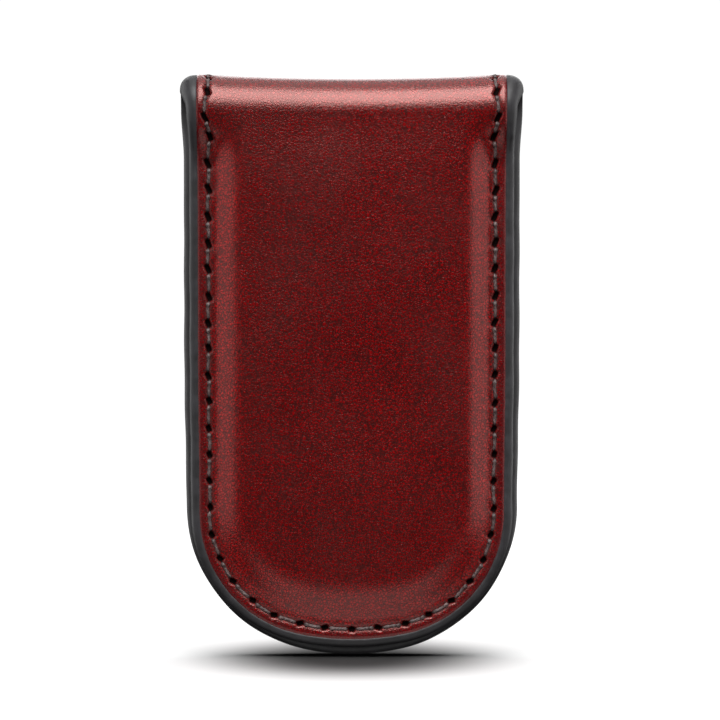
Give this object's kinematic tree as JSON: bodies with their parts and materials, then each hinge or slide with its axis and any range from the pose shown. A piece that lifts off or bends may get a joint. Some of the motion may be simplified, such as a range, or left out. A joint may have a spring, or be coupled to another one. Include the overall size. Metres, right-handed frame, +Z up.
{
  "type": "money clip",
  "caption": "Folded leather money clip: two padded leaves joined by a leather fold open like a book and are held shut by magnets sewn inside them.",
  "frame": {"origin": "on the ground under the middle of the closed clip, which stands on its rounded end with the fold on top", "axes": "+X across the clip's width, +Y through its thickness towards the back leaf, +Z up towards the fold"},
  "size_m": [0.0448, 0.0092, 0.0765],
  "materials": {
    "oxblood_leather": "smooth fine-grained oxblood leather, satin, with slight mottling",
    "lining_leather": "smooth oxblood lining leather, satin",
    "black_edge": "black edge paint, satin, rounded over the leather's cut edge",
    "thread": "twisted dark taupe sewing thread",
    "board": "pressed fibre stiffener board, matt",
    "magnet": "nickel-plated bar magnet"
  },
  "bodies": {
    "back_leaf": {"back_outer_leather": "oxblood_leather", "back_lining": "lining_leather", "back_painted_edge": "black_edge", "back_stiffener_board": "board", "back_lower_magnet": "magnet", "back_upper_magnet": "magnet", "back_outer_stitches": "thread", "back_lining_stitches": "thread"},
    "fold_link_1": {"fold_1_outer_leather": "oxblood_leather", "fold_1_lining": "lining_leather", "fold_1_painted_edge": "black_edge", "fold_1_stitches": "thread"},
    "fold_link_2": {"fold_2_outer_leather": "oxblood_leather", "fold_2_lining": "lining_leather", "fold_2_painted_edge": "black_edge", "fold_2_stitches": "thread"},
    "fold_link_3": {"fold_3_outer_leather": "oxblood_leather", "fold_3_lining": "lining_leather", "fold_3_painted_edge": "black_edge", "fold_3_stitches": "thread"},
    "front_leaf": {"front_outer_leather": "oxblood_leather", "front_lining": "lining_leather", "front_painted_edge": "black_edge", "front_stiffener_board": "board", "front_lower_magnet": "magnet", "front_upper_magnet": "magnet", "front_outer_stitches": "thread", "front_lining_stitches": "thread"}
  },
  "joints": [
    {"name": "fold_bend_1", "type": "hinge", "parent": "back_leaf", "child": "fold_link_1", "pos_m": [0, 0.00403, 0.07367], "axis": [-1, 0, 0], "range_deg": [0, 45], "stiffness_Nm_per_rad": 0.01, "springref_deg": -45.84},
    {"name": "fold_bend_2", "type": "hinge", "parent": "fold_link_1", "child": "fold_link_2", "pos_m": [0, 0.00167, 0.07603], "axis": [-1, 0, 0], "range_deg": [0, 45], "stiffness_Nm_per_rad": 0.01, "springref_deg": -45.84},
    {"name": "fold_bend_3", "type": "hinge", "parent": "fold_link_2", "child": "fold_link_3", "pos_m": [0, -0.00167, 0.07603], "axis": [-1, 0, 0], "range_deg": [0, 45], "stiffness_Nm_per_rad": 0.01, "springref_deg": -45.84},
    {"name": "fold_bend_4", "type": "hinge", "parent": "fold_link_3", "child": "front_leaf", "pos_m": [0, -0.00403, 0.07367], "axis": [-1, 0, 0], "range_deg": [0, 45], "stiffness_Nm_per_rad": 0.01, "springref_deg": -45.84}
  ],
  "couplings": [
    {"joint": "fold_bend_2", "follows": "fold_bend_1", "ratio": 1},
    {"joint": "fold_bend_3", "follows": "fold_bend_1", "ratio": 1},
    {"joint": "fold_bend_4", "follows": "fold_bend_1", "ratio": 1}
  ]
}
